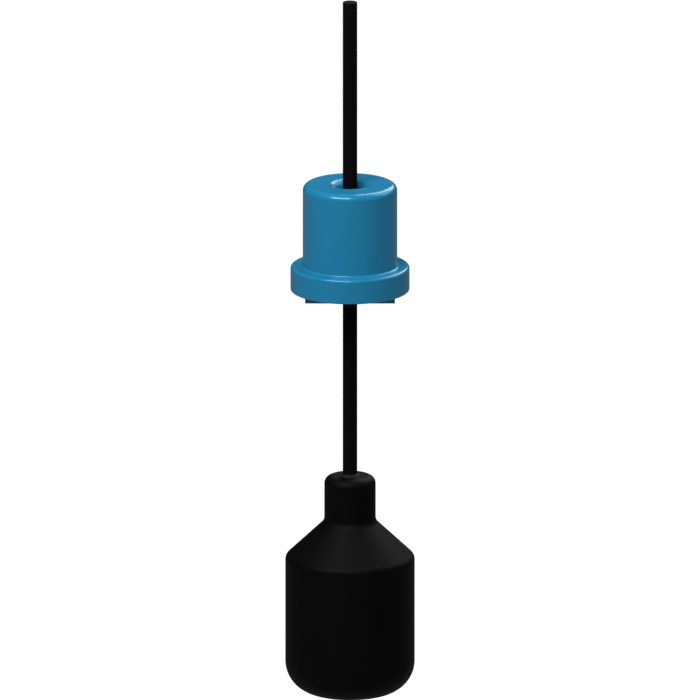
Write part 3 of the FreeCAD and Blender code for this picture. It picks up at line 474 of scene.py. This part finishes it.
def black_finish():
    finish = new_finish("black_plastic")
    spark = finish.grain(0.0006, detail=3.0)
    waves = finish.grain(0.014)
    clouds = finish.grain(0.03)
    finish.set(
        Base_Color=finish.mixed(clouds, colour(*BLACK_DEEP), colour(*BLACK_PALE)),
        Roughness=between(0.54, 0.64, spark),
        Specular_IOR_Level=0.08,
    )
    finish.bump(spark * 0.35 + waves * 0.65, depth=0.00008)
    return finish


dress(black_finish(), "float_upper", "float_lower")

# Seal and ring: moulded soft rubber. The seal's lip stands out of the neck and closes round the cable.
# Rubber is duller than the shells and picks up dust, so it is a shade greyer.
SEAL_BLACK = (14, 14, 15)
SEAL_DUSTY = (24, 24, 25)


def seal_finish():
    finish = new_finish("seal_rubber")
    pores = finish.grain(0.0003, detail=4.0)
    dust = finish.grain(0.003)
    finish.set(
        Base_Color=finish.mixed(dust, colour(*SEAL_BLACK), colour(*SEAL_DUSTY)),
        Roughness=between(0.6, 0.78, pores),
        Specular_IOR_Level=0.2,
    )
    finish.bump(pores, depth=0.00003)
    return finish


dress(seal_finish(), "cable_seal", "capsule_o_ring")

# Foam filling: poured between shell and capsule, where it rises and sets with closed cells.
# It is cream coloured, and every cut or cast face of it shows its cells.
FOAM_CREAM = (232, 218, 172)
FOAM_WALLS = (204, 184, 132)


def foam_finish():
    finish = new_finish("foam")
    cells = finish.cells(0.0011)
    finish.set(
        Base_Color=finish.mixed(cells, colour(*FOAM_CREAM), colour(*FOAM_WALLS)),
        Roughness=0.9,
        Specular_IOR_Level=0.15,
    )
    finish.bump(cells, depth=0.0004)
    return finish


dress(foam_finish(), "foam_fill")

# Gland nut and switch terminals: turned and stamped in brass.
# The metal is yellow, with fine tool marks and a brown tarnish that gathers in patches.
BRASS_YELLOW = (214, 178, 106)
BRASS_TARNISH = (178, 138, 78)


def brass_finish():
    finish = new_finish("brass")
    tarnish = finish.grain(0.003, detail=3.0)
    marks = finish.grain(0.0003, finish.where((0.05, 0.05, 1.0)))
    finish.set(
        Base_Color=finish.mixed(tarnish, colour(*BRASS_YELLOW), colour(*BRASS_TARNISH)),
        Roughness=between(0.24, 0.42, tarnish * 0.6 + marks * 0.4),
        Metallic=1.0,
    )
    finish.bump(marks, depth=0.00002)
    return finish


dress(brass_finish(), "gland_nut", "switch_terminals")

# Capsule, its cap and the switch's plunger: moulded in natural grey plastic with a satin skin.
# The two halves press together over a rubber ring, so they are plain and smooth.
GREY_SHADE = (186, 188, 190)
GREY_PALE = (200, 201, 202)


def grey_finish():
    finish = new_finish("grey_plastic")
    spark = finish.grain(0.0005)
    clouds = finish.grain(0.009, detail=3.0)
    finish.set(
        Base_Color=finish.mixed(clouds, colour(*GREY_SHADE), colour(*GREY_PALE)),
        Roughness=between(0.4, 0.52, spark),
    )
    finish.bump(spark, depth=0.00002)
    return finish


dress(grey_finish(), "capsule_cap", "capsule_body", "switch_plunger")

# Potting: a dark amber resin poured round the cores in the cap's well, where it levels itself and sets.
# Its face is glossy, with a few small pits left by bubbles.
RESIN_DARK = (52, 34, 20)
RESIN_AMBER = (74, 50, 30)


def resin_finish():
    finish = new_finish("potting_resin")
    bubbles = finish.stepped(finish.cells(0.0016), (0.0, 0.0), (0.14, 1.0))
    clouds = finish.grain(0.005)
    finish.set(
        Base_Color=finish.mixed(clouds, colour(*RESIN_DARK), colour(*RESIN_AMBER)),
        Roughness=between(0.1, 0.2, clouds),
    )
    finish.bump(bubbles, depth=0.0001)
    return finish


dress(resin_finish(), "potting")

# Switch case and cover: pressed in dark red-brown thermosetting plastic, filled with fine pale fibres.
# It is hard and brittle, with a half-matt face and crisp edges.
CASE_BROWN = (64, 27, 22)
CASE_FIBRE = (104, 62, 50)


def thermoset_finish():
    finish = new_finish("switch_plastic")
    strewn = finish.where((1.0, 0.3, 1.0), turn=(0.4, 0.7, 0.2))
    fibres = finish.stepped(finish.grain(0.0004, strewn, detail=3.0), (0.6, 0.0), (0.75, 1.0))
    finish.set(
        Base_Color=finish.mixed(fibres * 0.5, colour(*CASE_BROWN), colour(*CASE_FIBRE)),
        Roughness=between(0.4, 0.52, finish.grain(0.0006)),
    )
    finish.bump(fibres, depth=0.00002)
    return finish


dress(thermoset_finish(), "switch_case", "switch_cover")

# Lever and contact blade: stamped from rolled bronze strip, hard enough to spring back.
# The rolling leaves fine lines along the strip.
BRONZE_YELLOW = (206, 166, 108)
BRONZE_STAIN = (184, 140, 88)


def strip_finish():
    finish = new_finish("spring_strip")
    rolled = finish.grain(0.0003, finish.where((0.05, 1.0, 1.0)), detail=3.0)
    stain = finish.grain(0.002)
    finish.set(
        Base_Color=finish.mixed(stain, colour(*BRONZE_YELLOW), colour(*BRONZE_STAIN)),
        Roughness=between(0.2, 0.36, rolled),
        Metallic=1.0,
    )
    finish.bump(rolled, depth=0.00001)
    return finish


dress(strip_finish(), "switch_lever", "contact_blade")

# Ball: hardened bearing steel, ground and polished, that rolls in the basket.
# Its polish carries the hair-fine scratches of use.
BALL_SHADE = (226, 227, 230)
BALL_BRIGHT = (236, 236, 238)


def ball_finish():
    finish = new_finish("polished_steel")
    strewn = finish.where((0.04, 1.0, 0.3), turn=(0.3, 0.5, 0.9))
    hairs = finish.stepped(finish.grain(0.0002, strewn), (0.62, 0.0), (0.7, 1.0))
    clouds = finish.grain(0.004)
    finish.set(
        Base_Color=finish.mixed(clouds, colour(*BALL_SHADE), colour(*BALL_BRIGHT)),
        Roughness=between(0.06, 0.2, hairs),
        Metallic=1.0,
    )
    finish.bump(hairs, depth=0.000005)
    return finish


dress(ball_finish(), "steel_ball")

# Studio: a plain floor well below the hanging float, which the camera sees as white, and plain soft lamps.
# A wide key light stands in front on the left, a broad weak one on the right lights the float's cone,
# and a tall leaning one behind on the right draws the long highlights on the rounded edges.
FLOOR_Z = -0.9
FLOOR_SIDE = 12.0
FLOOR_COLOUR = (0.22, 0.22, 0.22, 1.0)
FLOOR_SHOWN = 0.95
# Painted light: how strongly the floor glows near the object for glossy rays.
FLOOR_PAINTED_POOL = 0.02
MIRRORED_FROM = 0.8
MIRRORED_TO = 6.0
AMBIENT = 0.4
BACKGROUND_MIRRORED = 0.012
WHITE = (1.0, 1.0, 1.0, 1.0)
BLACK = (0.0, 0.0, 0.0, 1.0)
LAMP_DISTANCE = 2.0


def ray_kind(finish, kind):
    """1 for rays of this kind, and 0 for all others."""
    return finish.node("ShaderNodeLightPath", {}, {}, f"Is {kind} Ray")


def mirrored_rays(finish):
    """1 for rays that gloss or clear matter sends on, and 0 for all others."""
    return ray_kind(finish, "Glossy") + ray_kind(finish, "Transmission")


def floor_finish():
    """Grey, and white to the camera. Near the object it also glows faintly for glossy rays, a painted pool of
    light that fades away.
    """
    finish = new_finish("floor")
    away = finish.node("ShaderNodeVectorMath", {"operation": "LENGTH"}, {0: finish.where()}, "Value")
    limits = {
        "Value": away,
        "From Min": MIRRORED_FROM,
        "From Max": MIRRORED_TO,
        "To Min": 1.0,
        "To Max": 0.0,
    }
    painted_pool = finish.node("ShaderNodeMapRange", {"interpolation_type": "SMOOTHSTEP"}, limits)
    # The glossy part is painted light: a faint glow that only reflections see, fading away from the object.
    shown = ray_kind(finish, "Camera") * FLOOR_SHOWN + mirrored_rays(finish) * painted_pool * FLOOR_PAINTED_POOL
    finish.set(
        Base_Color=FLOOR_COLOUR,
        Roughness=0.9,
        Specular_IOR_Level=0.0,
        Emission_Color=finish.mixed(shown, BLACK, WHITE),
        Emission_Strength=1.0,
    )
    return finish


bm = bmesh.new()
bmesh.ops.create_grid(bm, x_segments=1, y_segments=1, size=FLOOR_SIDE / 2)
bmesh.ops.translate(bm, verts=bm.verts, vec=(0, 0, FLOOR_Z))
floor_mesh = bpy.data.meshes.new("floor")
bm.to_mesh(floor_mesh)
bm.free()
floor = bpy.data.objects.new("floor", floor_mesh)
bpy.context.scene.collection.objects.link(floor)
floor.data.materials.append(floor_finish().owner)

world = bpy.data.worlds.new("studio")
bpy.context.scene.world = world
sky = Finish(world, "Background")
unseen = 1 - ray_kind(sky, "Camera")
sky.set(
    Color=WHITE,
    Strength=1 - unseen * (1 - AMBIENT) - mirrored_rays(sky) * (AMBIENT - BACKGROUND_MIRRORED),
)


def lamp(name, azimuth, elevation, width, height, level, lean=0.0):
    """A soft light aimed at the object. Azimuth 0 is the front, and 90 the right.

    Its level is how bright it alone makes a white surface that faces it, where 1 is white.
    Its lean, in degrees, turns it about the line to the object.
    """
    data = bpy.data.lights.new(name, "AREA")
    data.shape = "RECTANGLE"
    data.size = width
    data.size_y = height
    data.energy = level * (math.pi * LAMP_DISTANCE) ** 2
    turn, rise = math.radians(azimuth), math.radians(elevation)
    out = Vector((math.sin(turn) * math.cos(rise), -math.cos(turn) * math.cos(rise), math.sin(rise)))
    leaning = Quaternion((0.0, 0.0, 1.0), math.radians(lean))
    light = bpy.data.objects.new(name, data)
    light.location = AIM + LAMP_DISTANCE * out
    light.rotation_euler = (out.to_track_quat("Z", "Y") @ leaning).to_euler()
    bpy.context.scene.collection.objects.link(light)


lamp("key_light", azimuth=-28, elevation=52, width=1.35, height=0.8, level=1.06)
lamp("right_light", azimuth=118, elevation=42, width=1.4, height=1.2, level=0.3)
lamp("back_light", azimuth=160, elevation=40, width=0.85, height=1.5, level=0.4, lean=-16)
